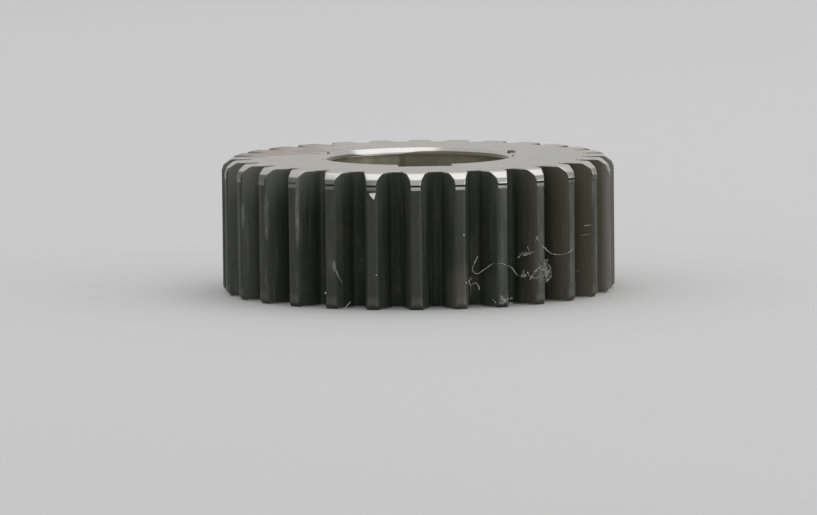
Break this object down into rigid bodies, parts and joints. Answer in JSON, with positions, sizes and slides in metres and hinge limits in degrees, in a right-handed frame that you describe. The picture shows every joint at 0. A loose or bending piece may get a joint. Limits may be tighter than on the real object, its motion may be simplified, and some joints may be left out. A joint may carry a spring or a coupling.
{
  "type": "lathe change gear",
  "caption": "Straight-cut spur gear with a keyed round bore, ground flat faces and chamfered tooth ends, swapped on a lathe's change train to set its feed.",
  "frame": {"origin": "centre of the bore, on the lower ground face that the gear lies on", "axes": "+Z along the bore to the upper face, -Y from the bore's centre through the middle of the keyway"},
  "size_m": [0.06, 0.06, 0.0205],
  "materials": {
    "gear_steel": "dark hobbed teeth, ground faces and bright turned chamfers"
  },
  "bodies": {
    "root": {"change_gear": "gear_steel"}
  },
  "joints": []
}
